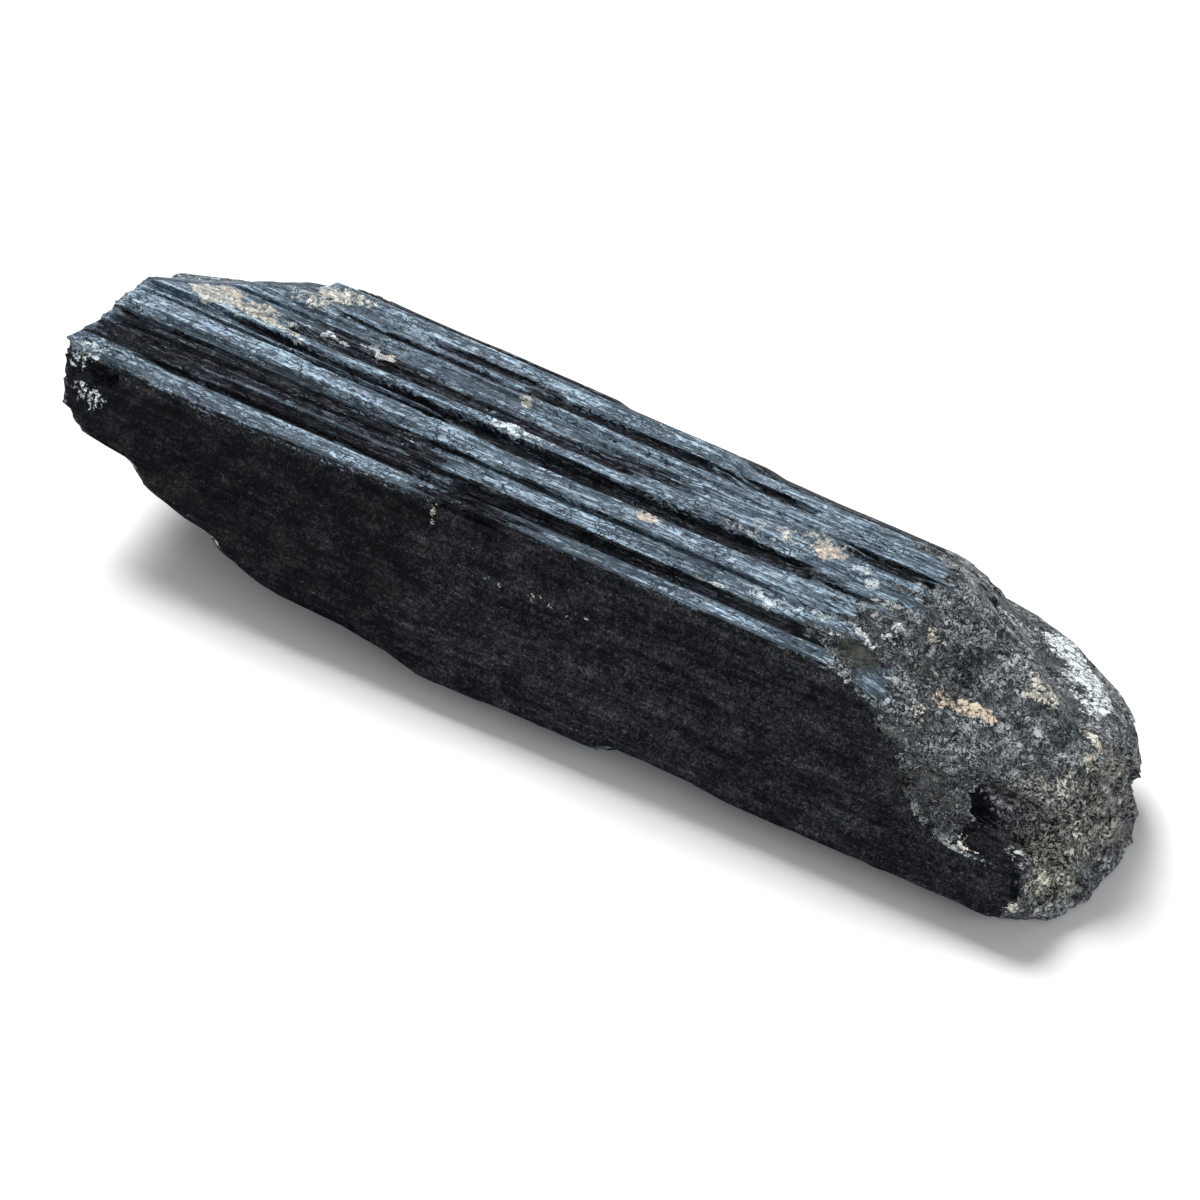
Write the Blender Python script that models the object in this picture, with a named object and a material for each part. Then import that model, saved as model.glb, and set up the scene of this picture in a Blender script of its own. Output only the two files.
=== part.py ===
"""Black tourmaline crystal: one striated prism, broken at both ends, lying on a long flat face.

The prism runs along X. Its cross-section is worked out in millimetres in the Y-Z plane, and an
arc length counted from the front ridge, up over the top and down the back, places the terraces
and grooves that run along the crystal.
"""

import math

import bmesh
import bpy
import numpy as np
from mathutils import Vector, geometry

NAME = "tourmaline_crystal"
MM = 0.001

# Corners of the cross-section (y, z), from the front of the resting face up over the top.
CORNERS = (
    (-12.5, 0.0),
    (-16.8, 3.4),
    (-14.9, 11.5),
    (-11.3, 21.3),
    (-6.8, 25.0),
    (4.0, 28.3),
    (9.6, 23.6),
    (15.0, 15.5),
    (15.8, 8.5),
    (12.5, 2.0),
    (9.0, 0.0),
)
FRONT_RIDGE = 3
CENTRE = (-1.0, 13.0)
CORNER_BLEND = 0.9

# The prism grows thinner toward +X by this share of its size per millimetre.
TAPER = 0.0011

# Middle of the crystal's box before it is moved onto the origin.
MIDDLE = (-0.7, 0.0)

# Far end, an undercut break: (height over the resting face, x of the break).
FAR_UNDERCUT = (
    (0.0, -9.0),
    (3.4, -13.0),
    (4.4, -17.0),
    (5.1, -23.0),
    (5.4, -31.5),
    (7.5, -38.0),
    (8.5, -38.5),
    (9.0, -42.5),
    (10.5, -47.5),
    (12.5, -50.0),
    (13.2, -56.0),
    (15.0, -58.5),
    (20.0, -60.0),
)
# The undercut is shallower toward the back, as if the height grew by this much per mm past a y.
FAR_BACK_LIFT = 0.35
FAR_BACK_START = -12.0
# Far end, the sloping break over the top: (reach up and back across the section, x), with the
# shares of y and z in that reach, and the share added past a y.
FAR_TOP = ((14.0, -60.3), (17.0, -56.8), (21.5, -55.5), (23.2, -48.5), (27.1, -37.5))
FAR_REACH = (0.45, 0.9)
FAR_REACH_BEND = (0.45, 4.0)
FAR_SOFTNESS = 0.5

# Near end: a broad slanting break, the end face, and the break down the back.
# The slanting break is given at y of -11.2 as (height, x), with a ledge at a height of 8.
SLANT = ((8.3, 62.0), (9.1, 51.8), (12.0, 48.0), (17.5, 41.5), (21.3, 34.0), (27.0, 26.7))
SLANT_Y = -11.2
SLANT_SLOPE = 1.15
END_X = 58.4
END_CROWN = 0.014
END_MIDDLE = -3.0
END_LEAN = 0.15
TOE_POINT = (57.5, -9.0)
TOE_SLOPE = (0.66, 0.53)
NEAR_BACK = (
    (1.0, 51.0),
    (1.9, 48.8),
    (6.0, 51.2),
    (9.0, 51.0),
    (14.2, 44.5),
    (15.5, 37.5),
    (28.5, 24.6),
)
NEAR_BACK_Y = 15.0
NEAR_BACK_SLOPE = -1.1
END_SOFTNESS = 0.7

# Pit broken out of the slanting break: (y, z), its reach across and up, the share of that reach
# with a flat floor, and depth along X.
PIT = (-8.9, 9.5)
PIT_REACH = (2.7, 3.6)
PIT_FLOOR = 0.7
PIT_DEPTH = 6.0

# Terraces and grooves: arc from the front ridge, arc end, x start, x end, height over the flat
# prism face at the x start and at the x end, and the rise across it per mm of arc. A negative
# height is a groove, and a negative rise turns a terrace to face up.
TERRACES = (
    (-1.1, 0.6, -50, -32, 0.40, 0.25, -0.35),
    (-0.4, 1.0, -34, -13.5, 0.40, 0.20, -0.40),
    (0.9, 1.5, -52, -13, -0.50, -0.40, 0.0),
    (2.4, 2.9, -42, -14, 0.25, 0.15, -0.30),
    (3.3, 3.8, -57, -20, -0.30, -0.20, 0.0),
    (4.4, 4.9, -57, -17, -0.35, -0.25, 0.0),
    (5.6, 7.2, -57, -10, 0.55, 0.35, 0.0),
    (7.2, 7.7, -57, -16, -0.45, -0.45, 0.0),
    (8.1, 8.8, -57, -16, -0.30, -0.85, 0.0),
    (7.0, 8.8, -18, 27, -1.00, -0.95, 0.0),
    (7.4, 7.8, 26, 34, -0.45, -0.45, 0.0),
    (8.8, 9.8, -57, 19, 0.25, 0.25, 0.0),
    (9.9, 10.9, -37, 4, -0.40, -0.30, 0.0),
    (9.8, 11.4, -50, -37, 0.35, 0.25, 0.0),
    (11.5, 12.2, -48, -25, -0.45, -0.35, 0.0),
    (10.7, 12.1, -2, 12, -0.35, -0.35, 0.0),
    (13.1, 17.8, -39, 37, 0.35, 0.35, 0.0),
    (13.7, 14.3, -33, -9, -0.50, -0.40, 0.0),
    (15.0, 15.8, -24, -9, -0.50, -0.45, 0.0),
    (14.0, 15.2, -9, 14, -0.50, -0.50, 0.0),
    (14.8, 16.1, 14, 24, -0.60, -0.60, 0.0),
    (11.6, 13.1, 28, 37.5, -0.70, -0.70, 0.0),
    (-0.9, 1.6, -14, -3, -0.50, -0.40, 0.0),
    (0.2, 1.4, -3, 34, 0.50, 0.15, -0.40),
    (1.5, 2.8, -13, 34, -0.50, -0.45, 0.0),
    (2.8, 4.5, -17, 17, 0.50, 0.30, -0.25),
    (4.6, 5.0, -12, 24, -0.35, -0.30, 0.0),
    (5.0, 7.0, -17, 33, 0.50, 0.25, -0.10),
)
TERRACE_EDGE = 0.28
TERRACE_FADE = 1.8
NARROW = 0.75
RIM_CHIP = 1.6

# Corners worn back: direction in the section (y, z), where the wear starts and is full along
# it, depth, x start and x end.
BITES = (
    (0.45, 0.90, 23.5, 27.3, 0.45, -70.0, 70.0),
    (0.45, 0.90, 23.5, 27.3, 0.85, 12.5, 70.0),
    (-0.60, -0.80, 4.5, 7.5, 0.40, 8.5, 70.0),
    (-0.60, -0.80, 4.5, 7.5, 0.60, 8.5, 27.0),
)
# How far along X a bite takes to set in and to fade out.
BITE_FADES = (2.5, 8.0)

# Back and resting faces, which carry the same kind of growth steps.
BACK_ARC = (19.5, 50.5)
BACK_STEP = (1.8, 4.2)
BACK_HEIGHT = 0.55
BACK_START = (-58.0, -20.0)
BACK_LENGTH = (45.0, 100.0)
BASE_ARC = (55.0, 73.5)
BASE_GROOVE = 0.45
BASE_WIDTH = 1.2
BASE_START = (-50.0, 0.0)
BASE_LENGTH = (30.0, 60.0)
BASE_GAP = (3.0, 5.0)

# Angular lumps over the two broken ends.
LUMP_SIZE = 3.4
LUMP_COUNT = 12
LUMP_DEPTH = 0.40
LUMP_TILT = 0.18

# Mesh: rows along the prism, spacing of the points over the broken ends.
ROWS = 38
LEAST_GAP = 0.29
MOST_GAP = 3.2
# Columns on the front face, which meet the ledges of the broken ends.
FRONT_COLUMNS = [-18.3, -17.6, -17.0, -16.5, -13.7, -13.2, -12.6, -11.6, -9.5, -8.8, -8.0]
FRONT_COLUMNS += [-7.0, -4.6, -2.2]
END_SPACING = 1.55
END_REACH = 40.0
END_JITTER = 0.22
END_MARGIN = 0.55
SEED = 11


def ramp(value, low, high):
    """0 below low, 1 above high, and smooth between them."""
    share = np.clip((value - low) / (high - low), 0.0, 1.0)
    return share * share * (3.0 - 2.0 * share)


def smooth_min(softness, *values):
    return -softness * np.log(sum(np.exp(-value / softness) for value in values))


def smooth_max(softness, *values):
    return softness * np.log(sum(np.exp(value / softness) for value in values))


def outline():
    """Corner points, edge directions, outward normals, lengths and arc positions."""
    points = np.array(CORNERS)
    edges = np.roll(points, -1, axis=0) - points
    lengths = np.linalg.norm(edges, axis=1)
    along = edges / lengths[:, None]
    normals = np.stack([-along[:, 1], along[:, 0]], axis=1)
    arcs = np.concatenate([[0.0], np.cumsum(lengths)])
    return points, along, normals, lengths, arcs


POINTS, ALONG, NORMALS, LENGTHS, ARCS = outline()
PERIMETER = ARCS[-1]


def section(arc):
    """Points of the section and its outward normals, at arcs counted from the front ridge."""
    place = np.mod(arc + ARCS[FRONT_RIDGE], PERIMETER)
    side = np.clip(np.searchsorted(ARCS, place, side="right") - 1, 0, len(CORNERS) - 1)
    past = place - ARCS[side]
    left = LENGTHS[side] - past
    point = POINTS[side] + ALONG[side] * past[:, None]
    before = np.clip(0.5 - 0.5 * past / CORNER_BLEND, 0.0, 0.5)[:, None]
    after = np.clip(0.5 - 0.5 * left / CORNER_BLEND, 0.0, 0.5)[:, None]
    normal = NORMALS[side] * (1.0 - before - after)
    normal = normal + NORMALS[side - 1] * before
    normal = normal + NORMALS[(side + 1) % len(CORNERS)] * after
    return point, normal / np.linalg.norm(normal, axis=1)[:, None]


def hidden_steps():
    """Seeded growth steps for the back face and grooves for the resting face."""
    chance = np.random.default_rng(SEED)
    steps = []
    arc = BACK_ARC[0]
    while arc < BACK_ARC[1]:
        width = chance.uniform(*BACK_STEP)
        start = chance.uniform(*BACK_START)
        end = start + chance.uniform(*BACK_LENGTH)
        height = chance.uniform(-1.0, 1.0) * BACK_HEIGHT
        steps.append((arc, arc + width, start, end, height, 0.7 * height, 0.0))
        arc += width * chance.uniform(0.9, 1.6)
    arc = BASE_ARC[0]
    while arc < BASE_ARC[1]:
        start = chance.uniform(*BASE_START)
        end = start + chance.uniform(*BASE_LENGTH)
        steps.append((arc, arc + BASE_WIDTH, start, end, -BASE_GROOVE, -BASE_GROOVE, 0.0))
        arc += chance.uniform(*BASE_GAP)
    return tuple(steps)


STEPS = TERRACES + hidden_steps()


def relief(arc, x):
    """Height of the terraces over the flat faces of the prism."""
    half = PERIMETER / 2.0
    arc = np.mod(arc + half, PERIMETER) - half
    height = np.zeros_like(arc + x)
    for first, last, start, end, low, high, tilt in STEPS:
        middle = 0.5 * (first + last)
        off = np.mod(arc - middle + half, PERIMETER) - half
        reach = 0.5 * (last - first)
        across = 1.0 - ramp(np.abs(off), reach - TERRACE_EDGE / 2.0, reach + TERRACE_EDGE / 2.0)
        inside = ramp(x, start, start + TERRACE_FADE) * (1.0 - ramp(x, end - TERRACE_FADE, end))
        share = np.clip((x - start) / (end - start), 0.0, 1.0)
        height = height + across * inside * (low + (high - low) * share + tilt * off)
    return height


def lumps(y, z, seed):
    """Tilted facets in cells over a broken end, in mm along X."""
    chance = np.random.default_rng(seed)
    cell = np.arange(LUMP_COUNT)
    grid = np.stack(np.meshgrid(cell, cell), axis=-1).reshape(-1, 2)
    centres = (grid - 0.5 * LUMP_COUNT + chance.uniform(0.0, 1.0, grid.shape)) * LUMP_SIZE
    centres = centres + np.array(CENTRE)
    lift = chance.uniform(-1.0, 1.0, len(grid))
    tilt = chance.uniform(-LUMP_TILT, LUMP_TILT, grid.shape)
    place = np.stack([y, z], axis=-1)[..., None, :] - centres
    nearest = np.argmin((place**2).sum(axis=-1), axis=-1)
    off = np.take_along_axis(place, nearest[..., None, None], axis=-2)[..., 0, :]
    return LUMP_DEPTH * lift[nearest] + (off * tilt[nearest]).sum(axis=-1)


def far_end(y, z):
    height = z + FAR_BACK_LIFT * np.maximum(y - FAR_BACK_START, 0.0)
    under = np.interp(height, *zip(*FAR_UNDERCUT))
    reach = FAR_REACH[0] * y + FAR_REACH[1] * z
    reach = reach + FAR_REACH_BEND[0] * np.maximum(y - FAR_REACH_BEND[1], 0.0)
    top = np.interp(reach, *zip(*FAR_TOP))
    return smooth_max(FAR_SOFTNESS, under, top) + lumps(y, z, SEED + 1)


def near_end(y, z):
    slant = np.interp(z, *zip(*SLANT)) + SLANT_SLOPE * (y - SLANT_Y)
    face = END_X - END_CROWN * (y - END_MIDDLE) ** 2 - END_LEAN * z
    toe = TOE_POINT[0] + TOE_SLOPE[0] * (y - TOE_POINT[1]) + TOE_SLOPE[1] * z
    back = np.interp(z, *zip(*NEAR_BACK)) + NEAR_BACK_SLOPE * (y - NEAR_BACK_Y)
    away = np.hypot((y - PIT[0]) / PIT_REACH[0], (z - PIT[1]) / PIT_REACH[1])
    pit = PIT_DEPTH * (1.0 - ramp(away, PIT_FLOOR, 1.0))
    return smooth_min(END_SOFTNESS, slant, face, toe, back) - pit + lumps(y, z, SEED + 2)


def column_arcs():
    """Arcs of the mesh's columns: both sides of each terrace edge, each corner, and fill."""
    half = TERRACE_EDGE / 2.0
    wanted = list(ARCS[:-1] - ARCS[FRONT_RIDGE])
    for first, last, *_ in STEPS:
        wanted += [first - half, last + half]
        wanted += [first + half, last - half] if last - first > NARROW else [(first + last) / 2]
    wanted += FRONT_COLUMNS
    wanted = np.sort(np.mod(np.array(wanted), PERIMETER))
    kept = [wanted[0]]
    for arc in wanted[1:]:
        gap = arc - kept[-1]
        if gap < LEAST_GAP:
            continue
        extra = int(gap // MOST_GAP)
        kept += [kept[-1] + gap * (k + 1) / (extra + 1) for k in range(extra)]
        kept.append(arc)
    return np.array(kept)


def side_rows(arcs):
    """Rows of points along the sides, from the far break to the near one."""
    point, normal = section(arcs)
    start = far_end(point[:, 0], point[:, 1])
    end = near_end(point[:, 0], point[:, 1])
    rows = []
    for share in np.linspace(0.0, 1.0, ROWS):
        x = start + (end - start) * share
        chipped = ramp(np.minimum(x - start, end - x), 0.0, RIM_CHIP)
        place = point + normal * (relief(arcs, x) * chipped)[:, None]
        rows.append(place_points(x, place))
    return np.array(rows)


def bitten(x, place):
    """Draws the worn corners in toward the middle."""
    for along, up, first, last, depth, start, end in BITES:
        reach = along * place[:, 0] + up * place[:, 1]
        inside = ramp(x, start, start + BITE_FADES[0]) * (1.0 - ramp(x, end - BITE_FADES[1], end))
        worn = depth * ramp(reach, first, last) * inside
        place = place - worn[:, None] * np.array([along, up])
    return place


def place_points(x, place):
    """Wears and tapers points, keeps them over the resting plane, and sets the origin."""
    place = bitten(x, place)
    size = 1.0 - TAPER * x
    y = place[:, 0] * size - MIDDLE[1]
    z = np.maximum(place[:, 1], 0.0) * size
    return np.stack([x - MIDDLE[0], y, z], axis=1) * MM


def end_points():
    """Scattered points inside the section, on a jittered triangular lattice."""
    chance = np.random.default_rng(SEED + 3)
    count = int(END_REACH / END_SPACING)
    row, column = np.meshgrid(np.arange(count), np.arange(count))
    y = (column + 0.5 * (row % 2) - 0.5 * count) * END_SPACING
    z = (row - 0.5 * count) * END_SPACING * math.sqrt(0.75)
    place = np.stack([y, z], axis=-1).reshape(-1, 2) + np.array(CENTRE)
    place = place + chance.uniform(-END_JITTER, END_JITTER, place.shape) * END_SPACING
    inward = ((place[:, None, :] - POINTS) * NORMALS).sum(axis=-1).max(axis=1)
    return place[inward < -END_MARGIN * END_SPACING]


def end_faces(arcs):
    """Points and triangles that fill the section: its rim first, then the scattered points."""
    rim = section(arcs)[0]
    place = np.concatenate([rim, end_points()])
    around = [(k, (k + 1) % len(rim)) for k in range(len(rim))]
    flat = [Vector(spot) for spot in place.tolist()]
    filled = geometry.delaunay_2d_cdt(flat, around, [], 1, 1e-6)
    return place, filled[2]


def add_end(shape, rim, place, faces, end):
    """Adds one broken end to the mesh, on the vertices of its rim."""
    inner = place[len(rim):]
    points = place_points(end(inner[:, 0], inner[:, 1]), inner)
    verts = list(rim) + [shape.verts.new(point) for point in points]
    for face in faces:
        shape.faces.new([verts[k] for k in face])


def crystal_mesh():
    """A grid wrapped round the prism, welded along its seam and closed by the broken ends."""
    arcs = column_arcs()
    rows = side_rows(arcs)
    count, columns = rows.shape[:2]
    wrapped = np.concatenate([rows, rows[:, :1]], axis=1)
    shape = bmesh.new()
    bmesh.ops.create_grid(shape, x_segments=columns, y_segments=count - 1, size=1.0)
    order = sorted(shape.verts, key=lambda vert: (round(vert.co.y, 5), vert.co.x))
    for vert, spot in zip(order, wrapped.reshape(-1, 3)):
        vert.co = spot
    far_rim = order[:columns]
    near_rim = order[-columns - 1:-1]
    place, faces = end_faces(arcs)
    add_end(shape, far_rim, place, faces, far_end)
    add_end(shape, near_rim, place, faces, near_end)
    bmesh.ops.remove_doubles(shape, verts=shape.verts[:], dist=1e-7)
    bmesh.ops.triangulate(shape, faces=shape.faces[:], quad_method="SHORT_EDGE")
    bmesh.ops.recalc_face_normals(shape, faces=shape.faces[:])
    mesh = bpy.data.meshes.new(NAME)
    shape.to_mesh(mesh)
    shape.free()
    return mesh


def stone_material():
    """Glossy black tourmaline with a cool sheen."""
    material = bpy.data.materials.new("black_tourmaline")
    material.use_nodes = True
    shader = material.node_tree.nodes["Principled BSDF"]
    shader.inputs["Base Color"].default_value = (0.020, 0.024, 0.030, 1.0)
    shader.inputs["Roughness"].default_value = 0.34
    shader.inputs["Metallic"].default_value = 0.0
    return material


def main():
    for leftover in list(bpy.data.objects):
        bpy.data.objects.remove(leftover, do_unlink=True)
    group = bpy.data.collections.new(NAME)
    bpy.context.scene.collection.children.link(group)
    mesh = crystal_mesh()
    mesh.materials.append(stone_material())
    mesh.shade_smooth()
    mesh.set_sharp_from_angle(angle=math.radians(24.0))
    crystal = bpy.data.objects.new(NAME, mesh)
    group.objects.link(crystal)


main()
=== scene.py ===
"""Looks of the black tourmaline crystal: fine surface, stone materials, floor, light and camera."""

import math

import bpy
import numpy as np
from mathutils import Matrix, Vector, geometry


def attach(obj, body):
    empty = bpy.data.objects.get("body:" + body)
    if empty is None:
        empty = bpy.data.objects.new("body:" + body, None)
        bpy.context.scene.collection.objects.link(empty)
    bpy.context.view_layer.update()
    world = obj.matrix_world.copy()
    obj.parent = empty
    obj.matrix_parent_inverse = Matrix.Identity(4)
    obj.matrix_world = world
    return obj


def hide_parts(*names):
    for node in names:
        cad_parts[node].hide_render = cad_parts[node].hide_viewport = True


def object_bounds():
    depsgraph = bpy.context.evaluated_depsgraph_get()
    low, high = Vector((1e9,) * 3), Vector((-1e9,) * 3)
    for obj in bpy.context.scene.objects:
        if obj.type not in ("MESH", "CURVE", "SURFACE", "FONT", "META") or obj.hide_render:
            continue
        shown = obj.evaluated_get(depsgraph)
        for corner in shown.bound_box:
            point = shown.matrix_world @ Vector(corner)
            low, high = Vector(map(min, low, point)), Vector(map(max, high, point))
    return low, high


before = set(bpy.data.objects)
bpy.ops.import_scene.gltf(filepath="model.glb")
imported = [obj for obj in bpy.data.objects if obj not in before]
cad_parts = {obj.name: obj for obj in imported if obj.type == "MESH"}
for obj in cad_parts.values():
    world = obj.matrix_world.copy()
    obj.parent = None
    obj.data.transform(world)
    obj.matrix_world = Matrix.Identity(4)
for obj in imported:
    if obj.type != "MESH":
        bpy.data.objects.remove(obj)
CAD_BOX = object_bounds()

NODE = "tourmaline_crystal"
MM = 0.001

# ---- Shape, in millimetres: the same driving values as the solid ----

# Corners of the cross-section (y, z), from the front of the resting face up over the top.
CORNERS = (
    (-12.5, 0.0), (-16.8, 3.4), (-14.9, 11.5), (-11.3, 21.3), (-6.8, 25.0), (4.0, 28.3),
    (9.6, 23.6), (15.0, 15.5), (15.8, 8.5), (12.5, 2.0), (9.0, 0.0),
)
FRONT_RIDGE = 3
CENTRE = (-1.0, 13.0)
CORNER_BLEND = 0.9

# The prism grows thinner toward +X by this share of its size per millimetre.
TAPER = 0.0011

# Middle of the crystal's box before it is moved onto the origin.
MIDDLE = (-0.7, 0.0)

# Far end, an undercut break: (height over the resting face, x of the break).
FAR_UNDERCUT = (
    (0.0, -9.0), (3.4, -13.0), (4.4, -17.0), (5.1, -23.0), (5.4, -31.5), (7.5, -38.0), (8.5, -38.5),
    (9.0, -42.5), (10.5, -47.5), (12.5, -50.0), (13.2, -56.0), (15.0, -58.5), (20.0, -60.0),
)
# The undercut is shallower toward the back, as if the height grew by this much per mm past a y.
FAR_BACK_LIFT = 0.35
FAR_BACK_START = -12.0
# Far end, the sloping break over the top: (reach up and back across the section, x), with the
# shares of y and z in that reach, and the share added past a y.
FAR_TOP = ((14.0, -60.3), (17.0, -56.8), (21.5, -55.5), (23.2, -48.5), (27.1, -37.5))
FAR_REACH = (0.45, 0.9)
FAR_REACH_BEND = (0.45, 4.0)
FAR_SOFTNESS = 0.5

# Near end: a broad slanting break, the end face, and the break down the back.
# The slanting break is given at y of -11.2 as (height, x), with a ledge at a height of 8.
SLANT = ((8.3, 62.0), (9.1, 51.8), (12.0, 48.0), (17.5, 41.5), (21.3, 34.0), (27.0, 26.7))
SLANT_Y = -11.2
SLANT_SLOPE = 1.15
END_X = 58.4
END_CROWN = 0.014
END_MIDDLE = -3.0
END_LEAN = 0.15
TOE_POINT = (57.5, -9.0)
TOE_SLOPE = (0.66, 0.53)
NEAR_BACK = (
    (1.0, 51.0), (1.9, 48.8), (6.0, 51.2), (9.0, 51.0),
    (14.2, 44.5), (15.5, 37.5), (28.5, 24.6),
)
NEAR_BACK_Y = 15.0
NEAR_BACK_SLOPE = -1.1
END_SOFTNESS = 0.7

# Pit broken out of the slanting break: (y, z), its reach across and up, the share of that reach
# with a flat floor, and depth along X.
PIT = (-8.9, 9.5)
PIT_REACH = (2.7, 3.6)
PIT_FLOOR = 0.7
PIT_DEPTH = 6.0

# Terraces and grooves: arc from the front ridge, arc end, x start, x end, height over the flat
# prism face at the x start and at the x end, and the rise across it per mm of arc. A negative
# height is a groove, and a negative rise turns a terrace to face up.
TERRACES = (
    (-1.1, 0.6, -50, -32, 0.4, 0.25, -0.35),
    (-0.4, 1.0, -34, -13.5, 0.4, 0.2, -0.4),
    (0.9, 1.5, -52, -13, -0.5, -0.4, 0.0),
    (2.4, 2.9, -42, -14, 0.25, 0.15, -0.3),
    (3.3, 3.8, -57, -20, -0.3, -0.2, 0.0),
    (4.4, 4.9, -57, -17, -0.35, -0.25, 0.0),
    (5.6, 7.2, -57, -10, 0.55, 0.35, 0.0),
    (7.2, 7.7, -57, -16, -0.45, -0.45, 0.0),
    (8.1, 8.8, -57, -16, -0.3, -0.85, 0.0),
    (7.0, 8.8, -18, 27, -1.0, -0.95, 0.0),
    (7.4, 7.8, 26, 34, -0.45, -0.45, 0.0),
    (8.8, 9.8, -57, 19, 0.25, 0.25, 0.0),
    (9.9, 10.9, -37, 4, -0.4, -0.3, 0.0),
    (9.8, 11.4, -50, -37, 0.35, 0.25, 0.0),
    (11.5, 12.2, -48, -25, -0.45, -0.35, 0.0),
    (10.7, 12.1, -2, 12, -0.35, -0.35, 0.0),
    (13.1, 17.8, -39, 37, 0.35, 0.35, 0.0),
    (13.7, 14.3, -33, -9, -0.5, -0.4, 0.0),
    (15.0, 15.8, -24, -9, -0.5, -0.45, 0.0),
    (14.0, 15.2, -9, 14, -0.5, -0.5, 0.0),
    (14.8, 16.1, 14, 24, -0.6, -0.6, 0.0),
    (11.6, 13.1, 28, 37.5, -0.7, -0.7, 0.0),
    (-0.9, 1.6, -14, -3, -0.5, -0.4, 0.0),
    (0.2, 1.4, -3, 34, 0.5, 0.15, -0.4),
    (1.5, 2.8, -13, 34, -0.5, -0.45, 0.0),
    (2.8, 4.5, -17, 17, 0.5, 0.3, -0.25),
    (4.6, 5.0, -12, 24, -0.35, -0.3, 0.0),
    (5.0, 7.0, -17, 33, 0.5, 0.25, -0.1),
)
TERRACE_EDGE = 0.18
TERRACE_FADE = 1.8
RIM_CHIP = 1.6

# Corners worn back: direction in the section (y, z), where the wear starts and is full along
# it, depth, x start and x end.
BITES = (
    (0.45, 0.9, 23.5, 27.3, 0.45, -70.0, 70.0),
    (0.45, 0.9, 23.5, 27.3, 0.85, 12.5, 70.0),
    (-0.6, -0.8, 4.5, 7.5, 0.4, 8.5, 70.0),
    (-0.6, -0.8, 4.5, 7.5, 0.6, 8.5, 27.0),
)
# How far along X a bite takes to set in and to fade out.
BITE_FADES = (2.5, 8.0)

# Back and resting faces, which carry the same kind of growth steps.
BACK_ARC = (19.5, 50.5)
BACK_STEP = (1.8, 4.2)
BACK_HEIGHT = 0.55
# Share of a back step's height left at its near end, and its widths to the next step.
BACK_FALL = 0.7
BACK_GAP = (0.9, 1.6)
BACK_START = (-58.0, -20.0)
BACK_LENGTH = (45.0, 100.0)
BASE_ARC = (55.0, 73.5)
BASE_GROOVE = 0.45
BASE_WIDTH = 1.2
BASE_START = (-50.0, 0.0)
BASE_LENGTH = (30.0, 60.0)
BASE_GAP = (3.0, 5.0)

# Angular lumps over the two broken ends.
LUMP_SIZE = 3.4
LUMP_COUNT = 12
LUMP_DEPTH = 0.4
LUMP_TILT = 0.18

SEED = 11

# ---- Fine surface, in millimetres ----

# Column pitch of the fine mesh from each arc on, counted from the front ridge.
PITCHES = ((-20.5, 0.34), (-1.6, 0.15), (17.6, 0.42), (27.0, 0.9))
ROWS = 300
FINE_END_SPACING = 0.34
END_REACH = 40.0
END_JITTER = 0.22
# The rows follow the rough rim only near it: share of the length where that starts.
RIM_SHARE = 0.06

# Sets of noise are given as length along the prism, width across it, strength and seed.
STRIATIONS = ((60.0, 1.6, 0.1, 31), (30.0, 0.75, 0.11, 32), (14.0, 0.38, 0.07, 33))
STRIATION_DIP = 2.2
# How far the terraces' edges wander across, and their ends along.
TERRACE_WANDER = ((18.0, 3.0, 0.08, 71), (1.6, 0.8, 0.05, 72))
TERRACE_STAGGER = ((9.0, 0.35, 1.4, 77),)
# Flakes broken from the ridges: length, width and seed, depth, and the range over which they set
# in. Then the same for the patches that have them.
CHIP = (1.9, 0.55, 61)
CHIP_DEPTH = 0.22
CHIP_EDGE = (0.4, 0.55)
CHIPPED = ((7.0, 2.5, 1.0, 67),)
CHIPPED_EDGE = (0.1, 0.5)
# Weathered front face: where it starts, and at places along the crystal the middle of its upper
# edge and how far that edge is spread into flecks; then its grain and its streaks.
FRONT_START = -20.0
FRONT_FADE = 0.6
FRONT_EDGES = (-26.0, -6.0)
FRONT_TOP = (-0.8, 0.0)
FRONT_SPREAD = (1.6, 0.5)
FRONT_GRAIN = ((4.76, 2.8, 0.1, 51), (1.53, 0.9, 0.07, 52))
FRONT_STREAKS = ((22.0, 1.3, 1.0, 55),)
FRONT_STREAK_DEPTH = 0.12
FRONT_STREAK_EDGE = 0.5
# Rough breaks: size, height and seed step of each set of facets and of the grain, and the warp
# that pushes them about.
BREAK_FACETS = ((2.2, 0.4, 0), (1.1, 0.26, 10))
BREAK_GRAIN = (0.8, 0.12, 30)
BREAK_WARP = 1.5
BREAK_WARP_SEEDS = (90, 91)
FACET_PUSH = 0.4
GRAIN_PUSH = 0.3
FAR_SEED = 101
NEAR_SEED = 201
# A facet's lift, its slope, and how many half turns its number gives its direction.
FACET_LIFT = 0.5
FACET_SLOPE = 0.9
FACET_TURNS = 7.0
# How far a cell's spot may lie from its middle.
CELL_JITTER = 0.45
# How far the rims are worn down, and how far in from them.
RIM_WEAR = 0.35
RIM_REACH = 1.2
# How far the crust's edges wander, the size of those swings and their seed, the range of squared
# distance over which a patch fades out, and the depth of the small cavities.
CRUST_WANDER = 0.7
CRUST_SWING = 1.3
CRUST_SEED = 301
PATCH_FADE = (0.2, 2.4)
HOLE_DEPTH = 1.2
# Where the side's looks give way to the break's, in from the far and the near rim: mean and
# wander over the top, then over the front face.
FAR_EDGE = (0.2, 0.9)
NEAR_EDGE = (2.2, 3.4)
FRONT_EDGE = (0.1, 0.8)
EDGE_STREAKS = ((5.0, 0.8, 1.0, 83), (1.2, 0.5, 0.5, 84))
EDGE_SOFTNESS = 0.8
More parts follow.
